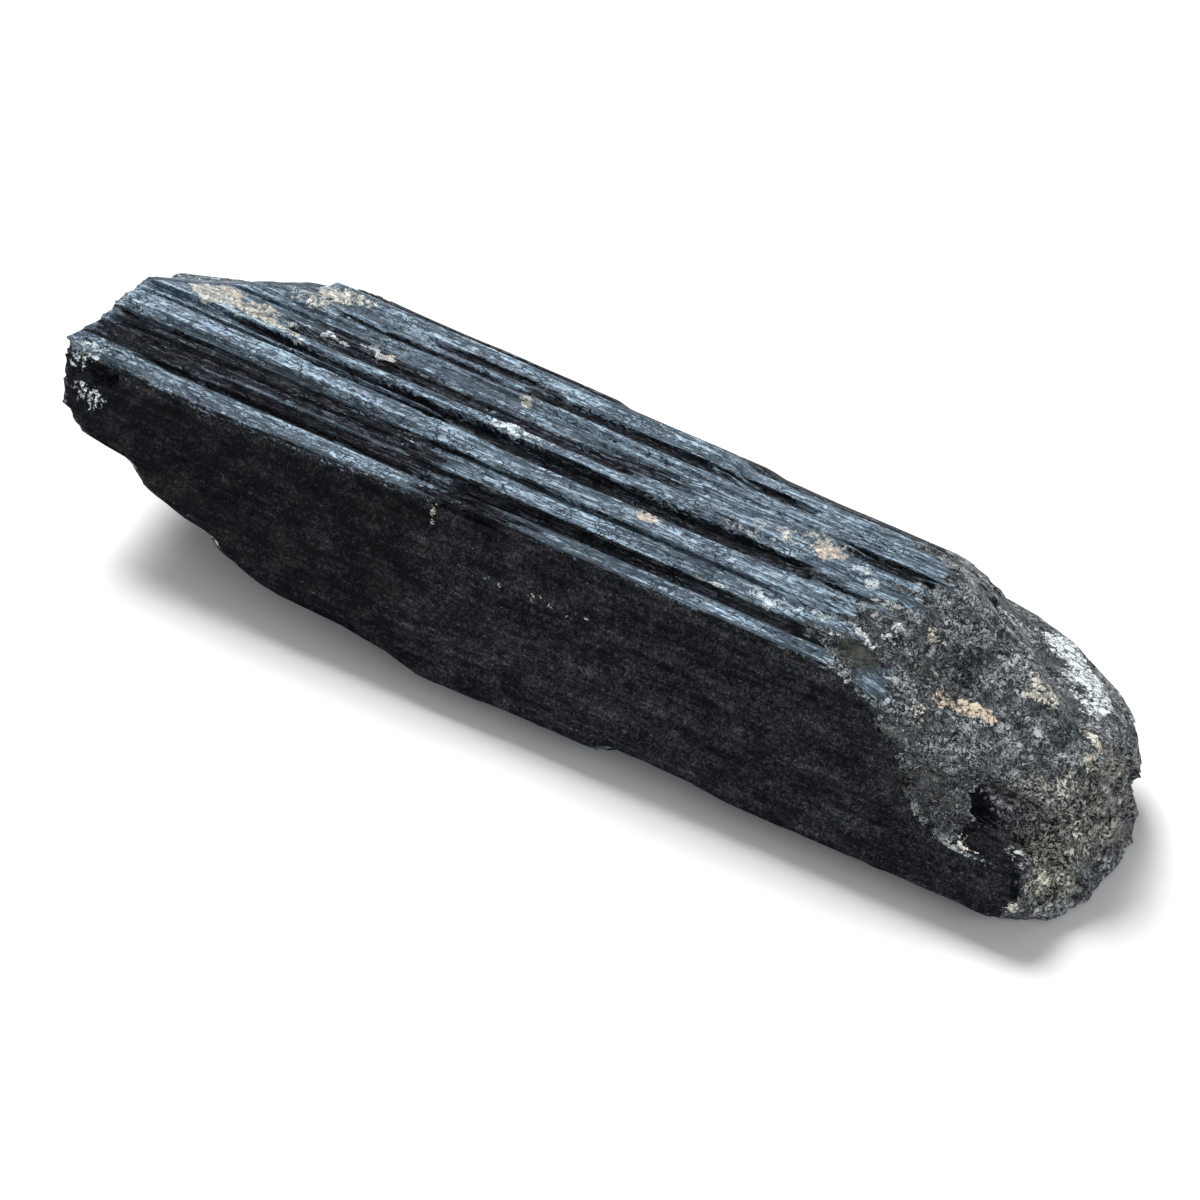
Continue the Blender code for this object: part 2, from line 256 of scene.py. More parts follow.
# How much painted light the faces get, from 0 to 1, painted into their colour as a pale sheen,
# where no band says otherwise, and the bands of painted light and shade, of which the first is the
# whole top: arc, arc end, x start, x end and how lit.
USUAL_LIT = 0.18
BANDS = (
    (-2.6, 17.8, -70.0, 70.0, 0.72),
    (-20.6, -1.4, -64.0, -14.0, 0.02),
    (-20.6, -1.4, -14.0, 64.0, 0.6),
    (-2.4, 0.5, -57.0, -30.0, 0.54),
    (-0.2, 1.1, -36.0, -13.5, 0.76),
    (1.3, 4.9, -60.0, -12.0, 0.0),
    (2.4, 2.8, -42.0, -16.0, 0.28),
    (5.0, 5.6, -60.0, -6.0, 0.65),
    (5.6, 7.3, -60.0, -4.0, 1.0),
    (7.7, 8.0, -57.0, -16.0, 0.7),
    (8.8, 9.8, -60.0, 21.0, 0.9),
    (9.8, 11.4, -36.0, 5.0, 0.15),
    (11.4, 12.2, -46.0, -22.0, 0.25),
    (12.2, 13.6, -34.0, 24.0, 0.8),
    (14.3, 15.0, -32.0, -6.0, 0.75),
    (15.9, 17.4, -38.0, 12.0, 0.78),
    (-1.0, 2.8, -14.0, -3.0, 0.1),
    (0.2, 1.4, -3.0, 13.0, 0.4),
    (0.2, 1.4, 12.0, 35.0, 1.0),
    (1.5, 2.7, -13.0, 34.0, 0.02),
    (2.8, 4.5, -16.0, 16.0, 0.66),
    (5.0, 7.0, -17.0, 33.0, 0.84),
    (9.9, 17.4, 8.0, 50.0, 0.8),
)
# Faces with less painted light than this take the dull finish; how much painted sheen the fresh
# patches get at most; how far the weathered look breaks up the far end.
DULL_LIT = 0.25
FRESH_LIT = 0.8
FAR_DULL = 0.45
BAND_EDGE = 0.35
BAND_FADE = 3.0
BAND_DRIFT = ((14.0, 2.0, 0.14, 85),)
BAND_STAGGER = ((7.0, 0.3, 5.0, 86),)
LIT_STREAKS = ((16.0, 0.8, 0.46, 87), (6.0, 0.35, 0.28, 88))
# Grooves grow dull between these depths.
# Grooves are painted darker, as painted shade, between these depths, and so take the dull finish
# when deep.
GROOVE_SHADE_DEPTH = (0.12, 0.45)

# ---- Crust, in millimetres in the part's frame: x, y, z, half length, half width, cover ----

CREAM = (
    (-47.5, -3.0, 27.8, 2.0, 0.8, 1.0),
    (-44.0, -2.8, 27.9, 2.6, 0.8, 1.0),
    (-40.5, -2.9, 27.7, 2.6, 0.7, 0.9),
    (-37.3, -3.3, 27.6, 2.4, 0.6, 0.9),
    (-37.0, 1.2, 28.6, 2.2, 0.9, 0.6),
    (-34.5, 2.6, 28.9, 2.4, 0.8, 0.7),
    (-31.5, 3.0, 29.0, 1.8, 0.6, 0.6),
    (-24.9, -1.1, 27.5, 0.9, 0.4, 0.9),
    (-9.4, 0.2, 27.4, 1.0, 0.6, 0.9),
    (18.0, -3.3, 25.6, 3.2, 0.5, 0.5),
    (22.0, -2.0, 25.8, 3.2, 0.7, 0.5),
    (26.5, -1.2, 25.9, 3.0, 1.0, 0.6),
    (40.1, -3.6, 22.9, 0.9, 0.9, 0.7),
    (42.4, -9.3, 17.4, 0.9, 0.9, 0.7),
    (50.4, -0.4, 18.1, 1.6, 1.6, 0.6),
    (55.6, 0.8, 14.4, 1.7, 1.2, 0.9),
    (56.5, -1.0, 13.7, 0.7, 1.2, 0.8),
    (55.2, -4.2, 12.3, 0.7, 1.6, 0.6),
    (51.1, -8.1, 11.4, 1.0, 0.7, 0.7),
    (50.2, -13.3, 8.9, 0.7, 0.5, 0.8),
    (48.9, -13.3, 9.3, 0.6, 0.5, 0.8),
    (56.6, -10.9, 6.5, 1.7, 1.1, 0.6),
    (55.9, -14.0, 4.3, 0.9, 0.8, 0.8),
    (-12.0, -12.3, 19.6, 0.6, 1.4, 0.45),
    (-4.0, -13.5, 15.8, 4.0, 0.3, 0.4),
    (4.5, -13.2, 15.9, 4.5, 0.3, 0.4),
)
WHITE = (
    (-42.6, -4.6, 27.2, 0.6, 0.4, 1.0),
    (-35.0, -4.0, 27.3, 0.8, 0.4, 1.0),
    (-31.0, -1.5, 27.4, 3.2, 0.35, 0.7),
    (-26.5, -1.4, 27.3, 1.4, 0.4, 0.9),
    (-13.6, -3.8, 25.8, 2.6, 0.5, 0.8),
    (-9.3, -3.5, 26.1, 3.0, 0.6, 1.0),
    (-5.6, -3.1, 26.5, 2.2, 0.4, 0.7),
    (31.3, -2.2, 25.5, 0.9, 0.5, 1.0),
    (32.9, -3.1, 25.2, 0.8, 0.4, 0.9),
    (18.4, -9.0, 22.8, 1.8, 0.4, 0.8),
    (24.2, -8.6, 23.3, 3.2, 0.5, 0.7),
    (29.2, -7.7, 23.4, 1.8, 0.5, 0.7),
    (35.4, -7.4, 22.9, 1.6, 0.5, 0.8),
    (37.2, -5.9, 23.0, 1.8, 0.5, 0.8),
    (42.9, 6.0, 19.8, 1.6, 1.2, 0.5),
    (42.3, 10.0, 15.7, 1.4, 1.2, 0.5),
    (45.6, 11.8, 13.8, 1.6, 1.4, 0.8),
    (47.1, 10.8, 13.8, 1.8, 1.6, 0.9),
    (49.9, 9.0, 13.4, 2.1, 1.9, 0.9),
    (52.8, 5.9, 13.8, 1.8, 1.8, 0.8),
    (-56.9, -12.6, 21.4, 1.6, 1.5, 0.5),
    (-55.3, -11.9, 22.6, 1.6, 1.2, 0.5),
    (-55.0, -13.7, 17.9, 2.2, 1.1, 0.5),
)
ORANGE = (
    (-44.6, -1.9, 28.1, 1.6, 0.5, 0.9),
    (-41.0, -2.1, 28.0, 2.2, 0.4, 0.7),
    (9.8, -6.3, 25.2, 1.1, 0.5, 0.9),
    (27.6, -1.6, 25.8, 1.7, 0.9, 0.8),
    (43.3, -6.8, 18.5, 1.1, 0.9, 0.8),
    (45.2, -6.1, 17.9, 1.6, 0.8, 0.8),
    (47.0, -5.3, 17.4, 1.3, 0.7, 0.8),
)
# Painted shade, which takes the weathered look's near-black colour: on the near break's low corner,
# in the pit, in the small wedge over the orange crust and in the cavity at the far tip.
PAINTED_SHADE = (
    (51.6, -12.2, 8.5, 2.2, 1.8, 1.0),
    (53.0, -11.8, 8.2, 2.2, 1.8, 1.0),
    (54.0, -12.8, 7.6, 2.0, 2.2, 1.0),
    (54.8, -14.2, 6.2, 1.6, 1.6, 1.0),
    (47.6, -8.8, 9.2, 3.0, 1.8, 1.0),
    (43.5, -4.5, 19.5, 1.0, 0.7, 1.0),
    (-53.2, -12.7, 20.6, 1.5, 1.0, 1.0),
)
OLIVE = (
    (35.4, -9.0, 21.4, 2.2, 1.4, 0.9),
    (41.4, -11.4, 16.4, 2.4, 1.5, 0.45),
    (44.6, -11.8, 12.8, 2.4, 1.9, 0.45),
    (46.6, -12.4, 10.6, 2.0, 1.9, 0.45),
    (41.0, -6.0, 20.6, 2.2, 1.6, 0.4),
)
# Stone with a dense net of pale veins.
VEINED = (
    (57.0, -8.5, 6.0, 4.0, 3.4, 1.0),
    (57.6, -4.0, 9.0, 3.0, 3.4, 1.0),
    (57.6, 1.0, 8.0, 2.6, 4.4, 0.8),
    (57.6, 4.0, 5.0, 2.6, 3.4, 0.7),
    (54.0, -6.5, 11.0, 2.6, 2.4, 0.8),
)
# Fresh glossy stone over the far end, and facets within the near break, which also get painted
# sheen in their colour.
FRESH = (
    (-50.0, -2.0, 26.5, 7.0, 5.0, 0.95),
    (-40.0, 2.0, 28.5, 6.0, 3.0, 0.95),
    (37.2, -9.7, 19.8, 1.8, 1.2, 1.0),
    (41.0, 0.5, 22.6, 2.4, 1.4, 0.8),
    (43.0, -1.8, 21.0, 2.0, 1.0, 0.7),
)
# Small cavities pressed in.
HOLES = (
    (-53.4, -12.6, 20.8, 1.6, 1.1, 0.9),
    (43.5, -4.5, 19.5, 0.9, 0.8, 0.8),
    (-7.8, -11.3, 20.6, 2.6, 0.9, 0.4),
)

# Hash behind the noise: factor and offset of the seed, then factor and shift of each turn.
HASH_START = (7919, 17)
HASH_CELL = (2654435761, 15)
HASH_LAST = (2246822519, 13)
HASH_HALF = 2.0**31
# Counts as no length.
TINY = 1e-6

# ---- Finishes: name, bump height in metres, index of refraction, specular level and tint ----

# Their places in the table, which are the faces' material numbers.
STRIATED, WEATHERED_AND_SHADE, BROKEN, DULL = range(4)
# The weathered finish also goes on the painted shade patches.
FINISHES = (
    ("striated_tourmaline", 0.00026, 1.75, 0.9, (0.6, 0.8, 1.0)),
    ("weathered_and_shade_tourmaline", 0.00022, 1.64, 0.04, (0.8, 0.88, 1.0)),
    ("broken_tourmaline", 0.00048, 1.64, 0.32, (0.72, 0.86, 1.0)),
    ("dull_tourmaline", 0.00026, 1.64, 0.14, (0.8, 0.88, 1.0)),
)

# ---- Floor, light and camera, in metres and degrees ----

VIEW_ELEVATION = 38.0
VIEW_AZIMUTH = 34.6
VIEW_DISTANCE = 0.4083
VIEW_LENS = 120.0
# Where the origin lies in the view, right and up of its middle.
VIEW_OFFSET = (0.00029, -0.00531)
VIEW_CLIP = 0.01
# Edges of the crystal that turn more than this are shaded sharp.
SHARP_ANGLE = 40.0
FLOOR_SIZE = 6.0
FLOOR_TOOTH = (300.0, 300.0, 300.0)
FLOOR_TOOTH_RANGE = (0.3, 0.7)
# Detail and roughness of the tooth.
FLOOR_TOOTH_DETAIL = (3.0, 0.6)
FLOOR_TONES = ((0.895, 0.895, 0.895), (0.905, 0.905, 0.905))
FLOOR_ROUGHNESS = 0.9
FLOOR_SPECULAR = 0.1
# Soft boxes: name, direction, distance, size and power.
SOFTBOXES = (
    ("key", (-0.45, 0.28, 0.85), 0.85, 0.4, 9.6),
    ("fill", (0.8, -0.42, 0.44), 1.1, 0.8, 5.0),
)
WORLD_COLOUR = (0.93, 0.97, 1.0, 1.0)
WORLD_STRENGTH = 0.28


def ramp(value, low, high):
    """0 below low, 1 above high, and smooth between them."""
    share = np.clip((value - low) / (high - low), 0.0, 1.0)
    return share * share * (3.0 - 2.0 * share)


def smooth_max(softness, *values):
    """The largest of the values, or with a negative softness the smallest, rounded off."""
    return softness * np.log(sum(np.exp(value / softness) for value in values))


def outline():
    """Corner points, edge directions, outward normals, lengths and arc positions."""
    points = np.array(CORNERS)
    edges = np.roll(points, -1, axis=0) - points
    lengths = np.linalg.norm(edges, axis=1)
    along = edges / lengths[:, None]
    normals = np.stack([-along[:, 1], along[:, 0]], axis=1)
    arcs = np.concatenate([[0.0], np.cumsum(lengths)])
    return points, along, normals, lengths, arcs


POINTS, ALONG, NORMALS, LENGTHS, ARCS = outline()
PERIMETER = ARCS[-1]


def section(arc):
    """Points of the section and its outward normals, at arcs counted from the front ridge."""
    place = np.mod(arc + ARCS[FRONT_RIDGE], PERIMETER)
    side = np.clip(np.searchsorted(ARCS, place, side="right") - 1, 0, len(CORNERS) - 1)
    past = place - ARCS[side]
    left = LENGTHS[side] - past
    point = POINTS[side] + ALONG[side] * past[:, None]
    before = np.clip(0.5 - 0.5 * past / CORNER_BLEND, 0.0, 0.5)[:, None]
    after = np.clip(0.5 - 0.5 * left / CORNER_BLEND, 0.0, 0.5)[:, None]
    normal = NORMALS[side] * (1.0 - before - after)
    normal = normal + NORMALS[side - 1] * before
    normal = normal + NORMALS[(side + 1) % len(CORNERS)] * after
    return point, normal / np.linalg.norm(normal, axis=1)[:, None]


def hidden_steps():
    """Seeded growth steps for the back face and grooves for the resting face."""
    chance = np.random.default_rng(SEED)
    steps = []
    arc = BACK_ARC[0]
    while arc < BACK_ARC[1]:
        width = chance.uniform(*BACK_STEP)
        start = chance.uniform(*BACK_START)
        end = start + chance.uniform(*BACK_LENGTH)
        height = chance.uniform(-1.0, 1.0) * BACK_HEIGHT
        steps.append((arc, arc + width, start, end, height, BACK_FALL * height, 0.0))
        arc += width * chance.uniform(*BACK_GAP)
    arc = BASE_ARC[0]
    while arc < BASE_ARC[1]:
        start = chance.uniform(*BASE_START)
        end = start + chance.uniform(*BASE_LENGTH)
        steps.append((arc, arc + BASE_WIDTH, start, end, -BASE_GROOVE, -BASE_GROOVE, 0.0))
        arc += chance.uniform(*BASE_GAP)
    return tuple(steps)


STEPS = TERRACES + hidden_steps()
GROOVES = tuple(step for step in STEPS if step[4] < 0.0)


def centred_arc(arc):
    """Arcs of any size, brought to within half of the way round."""
    half = PERIMETER / 2.0
    return np.mod(arc + half, PERIMETER) - half


def relief(arc, x, steps=STEPS):
    """Height of the terraces over the flat faces of the prism."""
    arc = centred_arc(arc)
    height = np.zeros_like(arc + x)
    for first, last, start, end, low, high, tilt in steps:
        off = centred_arc(arc - 0.5 * (first + last))
        reach = 0.5 * (last - first)
        across = 1.0 - ramp(np.abs(off), reach - TERRACE_EDGE / 2.0, reach + TERRACE_EDGE / 2.0)
        inside = ramp(x, start, start + TERRACE_FADE) * (1.0 - ramp(x, end - TERRACE_FADE, end))
        share = np.clip((x - start) / (end - start), 0.0, 1.0)
        height = height + across * inside * (low + (high - low) * share + tilt * off)
    return height


def lumps(y, z, seed):
    """Tilted facets in cells over a broken end, in mm along X."""
    chance = np.random.default_rng(seed)
    cell = np.arange(LUMP_COUNT)
    grid = np.stack(np.meshgrid(cell, cell), axis=-1).reshape(-1, 2)
    centres = (grid - 0.5 * LUMP_COUNT + chance.uniform(0.0, 1.0, grid.shape)) * LUMP_SIZE
    centres = centres + np.array(CENTRE)
    lift = chance.uniform(-1.0, 1.0, len(grid))
    tilt = chance.uniform(-LUMP_TILT, LUMP_TILT, grid.shape)
    place = np.stack([y, z], axis=-1)[..., None, :] - centres
    nearest = np.argmin((place**2).sum(axis=-1), axis=-1)
    off = np.take_along_axis(place, nearest[..., None, None], axis=-2)[..., 0, :]
    return LUMP_DEPTH * lift[nearest] + (off * tilt[nearest]).sum(axis=-1)


def far_end(y, z):
    height = z + FAR_BACK_LIFT * np.maximum(y - FAR_BACK_START, 0.0)
    under = np.interp(height, *zip(*FAR_UNDERCUT))
    reach = FAR_REACH[0] * y + FAR_REACH[1] * z
    reach = reach + FAR_REACH_BEND[0] * np.maximum(y - FAR_REACH_BEND[1], 0.0)
    top = np.interp(reach, *zip(*FAR_TOP))
    return smooth_max(FAR_SOFTNESS, under, top) + lumps(y, z, SEED + 1)


def near_end(y, z):
    slant = np.interp(z, *zip(*SLANT)) + SLANT_SLOPE * (y - SLANT_Y)
    face = END_X - END_CROWN * (y - END_MIDDLE) ** 2 - END_LEAN * z
    toe = TOE_POINT[0] + TOE_SLOPE[0] * (y - TOE_POINT[1]) + TOE_SLOPE[1] * z
    back = np.interp(z, *zip(*NEAR_BACK)) + NEAR_BACK_SLOPE * (y - NEAR_BACK_Y)
    away = np.hypot((y - PIT[0]) / PIT_REACH[0], (z - PIT[1]) / PIT_REACH[1])
    pit = PIT_DEPTH * (1.0 - ramp(away, PIT_FLOOR, 1.0))
    return smooth_max(-END_SOFTNESS, slant, face, toe, back) - pit + lumps(y, z, SEED + 2)


def bitten(x, place):
    """Draws the worn corners in toward the middle."""
    for along, up, first, last, depth, start, end in BITES:
        reach = along * place[:, 0] + up * place[:, 1]
        inside = ramp(x, start, start + BITE_FADES[0]) * (1.0 - ramp(x, end - BITE_FADES[1], end))
        worn = depth * ramp(reach, first, last) * inside
        place = place - worn[:, None] * np.array([along, up])
    return place


def place_points(x, place):
    """Wears and tapers points, keeps them over the resting plane, and sets the origin."""
    place = bitten(x, place)
    size = 1.0 - TAPER * x
    y = place[:, 0] * size - MIDDLE[1]
    z = np.maximum(place[:, 1], 0.0) * size
    return np.stack([x - MIDDLE[0], y, z], axis=1) * MM


def turned(value, factor, shift):
    """One turn of the hash."""
    value = value * np.uint32(factor)
    return value ^ (value >> np.uint32(shift))


def mixed(cell, seed):
    """A repeatable number from -1 to 1 for each row of whole numbers."""
    value = np.full(cell.shape[:-1], seed * HASH_START[0] + HASH_START[1], dtype=np.uint32)
    for k in range(cell.shape[-1]):
        whole = cell[..., k].astype(np.int64).astype(np.uint32)
        value = turned(value ^ whole, *HASH_CELL)
    return turned(value, *HASH_LAST).astype(np.float64) / HASH_HALF - 1.0


def noise(place, seed):
    """Smooth noise from -1 to 1 with cells of one unit, at points of 2 or 3 numbers."""
    cell = np.floor(place)
    part = place - cell
    part = part * part * (3.0 - 2.0 * part)
    total = 0.0
    for corner in np.ndindex(*(2,) * place.shape[-1]):
        step = np.array(corner)
        weight = np.prod(np.where(step == 1, part, 1.0 - part), axis=-1)
        total = total + weight * mixed(cell + step, seed)
    return total


def cells(place, seed):
    """For points of 2 numbers: each one's cell number from -1 to 1, and its offset in the cell."""
    base = np.floor(place)
    best = np.full(place.shape[:-1], np.inf)
    number = np.zeros(place.shape[:-1])
    offset = np.zeros(place.shape)
    for corner in np.ndindex(3, 3):
        cell = base + np.array(corner) - 1
        spot = np.stack([mixed(cell, seed), mixed(cell, seed + 1)], axis=-1)
        away = place - cell - 0.5 - CELL_JITTER * spot
        far = np.linalg.norm(away, axis=-1)
        nearer = far < best
        best = np.where(nearer, far, best)
        number = np.where(nearer, mixed(cell, seed + 2), number)
        offset = np.where(nearer[..., None], away, offset)
    return number, offset


def facets(place, seed):
    """Tilted flat facets, about -1 to 1."""
    number, offset = cells(place, seed)
    turn = math.pi * number * FACET_TURNS
    slope = offset[..., 0] * np.cos(turn) + offset[..., 1] * np.sin(turn)
    return FACET_LIFT * number + FACET_SLOPE * slope


def stretched(x, arc, length, width):
    """Points over the sides, counted in lengths along and widths across."""
    return np.stack(np.broadcast_arrays(x / length, arc / width), axis=-1)


def swayed(arc, x, sets):
    """The sum of sets of noise over the sides."""
    total = 0.0
    for length, width, strength, seed in sets:
        total = total + strength * noise(stretched(x, arc, length, width), seed)
    return total


def weathered_share(arc, x):
    """1 on the weathered front face, soft along the ridge, and 0 elsewhere."""
    top = np.interp(x, FRONT_EDGES, FRONT_TOP)
    spread = np.interp(x, FRONT_EDGES, FRONT_SPREAD)
    upper = np.clip(0.5 - 0.5 * (arc - top) / spread, 0.0, 1.0)
    return ramp(arc, FRONT_START - FRONT_FADE, FRONT_START) * upper


def striations(arc, x):
    """Fine ridges along the prism."""
    height = 0.0
    for length, width, size, seed in STRIATIONS:
        ridge_highlight = noise(stretched(x, arc, length, width), seed)
        height = height + size * (1.0 - STRIATION_DIP * np.abs(ridge_highlight))
    return height


def weathering(arc, x):
    """The grain of the weathered front face, with faint streaks."""
    streak = np.abs(swayed(arc, x, FRONT_STREAKS))
    return swayed(arc, x, FRONT_GRAIN) - FRONT_STREAK_DEPTH * ramp(streak, 0.0, FRONT_STREAK_EDGE)


def chips(arc, x):
    """Small flakes broken from the ridges."""
    length, width, seed = CHIP
    flake = ramp(facets(stretched(x, arc, length, width), seed), *CHIP_EDGE)
    return -CHIP_DEPTH * flake * ramp(swayed(arc, x, CHIPPED), *CHIPPED_EDGE)


def fine_relief(arc, x):
    """Terraces with wandering edges, striations, chips and weathering, in mm over the prism."""
    steps = relief(arc + swayed(arc, x, TERRACE_WANDER), x + swayed(arc, x, TERRACE_STAGGER))
    front = weathered_share(arc, x)
    fresh = striations(arc, x) + chips(arc, x)
    return steps + fresh * (1.0 - front) + weathering(arc, x) * front


def roughness_of_break(y, z, seed):
    """Facets and grain of a broken end, in mm along X."""
    place = np.stack([y, z], axis=-1)
    warp = np.stack([noise(place / BREAK_WARP, seed + step) for step in BREAK_WARP_SEEDS], axis=-1)
    height = 0.0
    for size, rise, step in BREAK_FACETS:
        height = height + rise * facets((place + FACET_PUSH * warp) / size, seed + step)
    size, rise, step = BREAK_GRAIN
    return height + rise * noise((place + GRAIN_PUSH * warp) / size, seed + step)


def column_arcs():
    """Arcs of the fine mesh's columns, close together on the sides that are seen most."""
    starts, pitches = zip(*PITCHES)
    ends = starts[1:] + (starts[0] + PERIMETER,)
    runs = [np.arange(a, b - pitch / 2.0, pitch) for a, b, pitch in zip(starts, ends, pitches)]
    return np.concatenate(runs)


def side_surface(arcs):
    """Points of the sides, and for each its length coordinate, arc and distance to both rims."""
    point, normal = section(arcs)
    y, z = point[:, 0], point[:, 1]
    share = np.linspace(0.0, 1.0, ROWS)[:, None]
    start, end = far_end(y, z), near_end(y, z)
    x = start + (end - start) * share
    x = x + roughness_of_break(y, z, FAR_SEED) * (1.0 - ramp(share, 0.0, RIM_SHARE))
    x = x + roughness_of_break(y, z, NEAR_SEED) * ramp(share, 1.0 - RIM_SHARE, 1.0)
    arc = np.broadcast_to(centred_arc(arcs), x.shape)
    rims = (share * (end - start), (1.0 - share) * (end - start))
    rim = np.minimum(*rims)
    height = fine_relief(arc, x) * ramp(rim, 0.0, RIM_CHIP)
    height = height - RIM_WEAR * (1.0 - ramp(rim, 0.0, RIM_REACH))
    place = point + normal * height[..., None]
    flat = place_points(x.reshape(-1), place.reshape(-1, 2))
    return flat.reshape(ROWS, len(arcs), 3), x, arc, rims


def end_points():
    """Scattered points inside the section, on a jittered triangular lattice."""
    chance = np.random.default_rng(SEED + 3)
    count = int(END_REACH / FINE_END_SPACING)
    row, column = np.meshgrid(np.arange(count), np.arange(count))
    y = (column + 0.5 * (row % 2) - 0.5 * count) * FINE_END_SPACING
    z = (row - 0.5 * count) * FINE_END_SPACING * math.sqrt(0.75)
    place = np.stack([y, z], axis=-1).reshape(-1, 2) + np.array(CENTRE)
    place = place + chance.uniform(-END_JITTER, END_JITTER, place.shape) * FINE_END_SPACING
    inward = ((place[:, None, :] - POINTS) * NORMALS).sum(axis=-1).max(axis=1)
    return place[inward < -RIM_WEAR - 0.5 * FINE_END_SPACING]


def end_faces(arcs):
    """Points and triangles that fill the section: its rim first, then the scattered points."""
    rim = section(arcs)[0]
    place = np.concatenate([rim, end_points()])
    around = [(k, (k + 1) % len(rim)) for k in range(len(rim))]
    flat = [Vector(spot) for spot in place.tolist()]
    only_inside = 1
    triangles = geometry.delaunay_2d_cdt(flat, around, [], only_inside, TINY)[2]
    return place, triangles


def covered(points, patches):
    """How far each point lies inside the patches' wandering edges, from 0 to their cover."""
    drift = np.stack([noise(points / CRUST_SWING, CRUST_SEED + k) for k in range(3)], axis=-1)
    points = points + CRUST_WANDER * drift
    share = np.zeros(len(points))
    for x, y, z, length, width, cover in patches:
        away = (points - np.array([x, y, z])) / np.array([length, width, width])
        inside = cover * (1.0 - ramp((away**2).sum(axis=1), *PATCH_FADE))
        share = np.maximum(share, inside)
    return share


def crystal_mesh():
    """The fine surface as one mesh, with its masks as attributes."""
    arcs = column_arcs()
    sides, x, arc, rims = side_surface(arcs)
    place, caps = end_faces(arcs)
    inner = place[len(arcs) :]
    y, z = inner[:, 0], inner[:, 1]
    far = place_points(far_end(y, z) + roughness_of_break(y, z, FAR_SEED), inner)
    near = place_points(near_end(y, z) + roughness_of_break(y, z, NEAR_SEED), inner)
    points = dig_holes(np.concatenate([sides.reshape(-1, 3), far, near]))
    points = np.clip(points, np.array(CAD_BOX[0]), np.array(CAD_BOX[1]))
    shares = surface_shares(points / MM, x, arc, rims, len(inner))
    faces, kinds = surface_faces(len(arcs), caps, len(inner), shares)
    mesh = bpy.data.meshes.new("tourmaline_surface")
    mesh.from_pydata(points.tolist(), [], faces)
    mesh.polygons.foreach_set("material_index", kinds)
    grain = points / MM
    grain[: x.size, 0] = x.reshape(-1)
    grain[: x.size, 1] = arc.reshape(-1)
    grain[: x.size, 2] = 0.0
    add_masks(mesh, points / MM, grain, shares)
    return mesh


def dig_holes(points):
    """Presses the small cavities in, toward the crystal's middle line."""
    depth = covered(points / MM, HOLES)
    inward = np.array([0.0, CENTRE[0] - MIDDLE[1], CENTRE[1]]) * MM - points
    inward[:, 0] = 0.0
    inward = inward / np.maximum(np.linalg.norm(inward, axis=1), TINY)[:, None]
    return points + inward * (depth * HOLE_DEPTH * MM)[:, None]


def broken_share(rims, arc, x):
    """1 at the broken rims and 0 on the prism's sides."""
    front = weathered_share(arc, x)
    streaky = swayed(arc, x, EDGE_STREAKS)
    share = 0.0
    for rim, (mean, wander) in zip(rims, (FAR_EDGE, NEAR_EDGE)):
        mean = mean + (FRONT_EDGE[0] - mean) * front
        wander = wander + (FRONT_EDGE[1] - wander) * front
        past = rim - mean - wander * streaky
        share = np.maximum(share, 1.0 - ramp(past, -EDGE_SOFTNESS, EDGE_SOFTNESS))
    return share


def lit_share(arc, x):
    """How much painted sheen the prism's faces get, which also picks their glossy or dull finish:
    bands that wander and end in streaks, with painted shade in the grooves.
    """
    arc, x = arc + swayed(arc, x, BAND_DRIFT), x + swayed(arc, x, BAND_STAGGER)
    share = np.full_like(x, USUAL_LIT)
    for first, last, start, end, level in BANDS:
        reach = np.abs(arc - 0.5 * (first + last)) - 0.5 * (last - first)
        across = 1.0 - ramp(reach, -0.5 * BAND_EDGE, 0.5 * BAND_EDGE)
        inside = ramp(x, start, start + BAND_FADE) * (1.0 - ramp(x, end - BAND_FADE, end))
        share = share + (level - share) * across * inside
    # Painted shade: the grooves lose painted light, so their colour is darker.
    share = share * (1.0 - ramp(-relief(arc, x, GROOVES), *GROOVE_SHADE_DEPTH))
    return np.clip(share * (1.0 + swayed(arc, x, LIT_STREAKS)), 0.0, 1.0)


def surface_shares(points, x, arc, rims, inner):
    """How weathered (with the painted shade patches), broken and lit by painted sheen each point
    is: the sides, then the far and the near cap.
    """
    seen = {
        "front": (weathered_share(arc, x), FAR_DULL, 0.0),
        "broken": (broken_share(rims, arc, x), 1.0, 1.0),
        "lit": (lit_share(arc, x), 0.0, 0.0),
    }
    shares = {}
    for name, (side, far, near) in seen.items():
        shares[name] = np.concatenate([side.reshape(-1), np.full(inner, far), np.full(inner, near)])
    # Painted shade: these patches take the near-black weathered look; the fresh patches get painted
    # sheen.
    shade_patches, fresh = covered(points, PAINTED_SHADE), covered(points, FRESH)
    shares["front"] = np.maximum(shares["front"], shade_patches)
    shares["broken"] = np.minimum(shares["broken"], 1.0 - np.maximum(shade_patches, fresh))
    shares["lit"] = np.maximum(shares["lit"], fresh * FRESH_LIT)
    return shares


def surface_faces(columns, caps, inner, shares):
    """Quads of the sides and triangles of the ends, and each face's material number."""
    row, column = np.meshgrid(np.arange(ROWS - 1), np.arange(columns), indexing="ij")
    beside = (column + 1) % columns
    corners = [row * columns + column, row * columns + beside]
    corners += [(row + 1) * columns + beside, (row + 1) * columns + column]
    quads = np.stack(corners, axis=-1).reshape(-1, 4)
    last = (ROWS - 1) * columns
    far = [[k if k < columns else last + k for k in face] for face in caps]
    near = [[last + k if k < columns else last + inner + k for k in face] for face in caps]
    faces = quads[:, ::-1].tolist() + [face[::-1] for face in far] + near
    first = np.array([face[0] for face in faces])
    kinds = np.where(shares["lit"][first] < DULL_LIT, DULL, STRIATED)
    kinds = np.where(shares["broken"][first] > 0.5, BROKEN, kinds)
    kinds = np.where(shares["front"][first] > 0.5, WEATHERED_AND_SHADE, kinds)
    return faces, kinds.astype(np.int32)


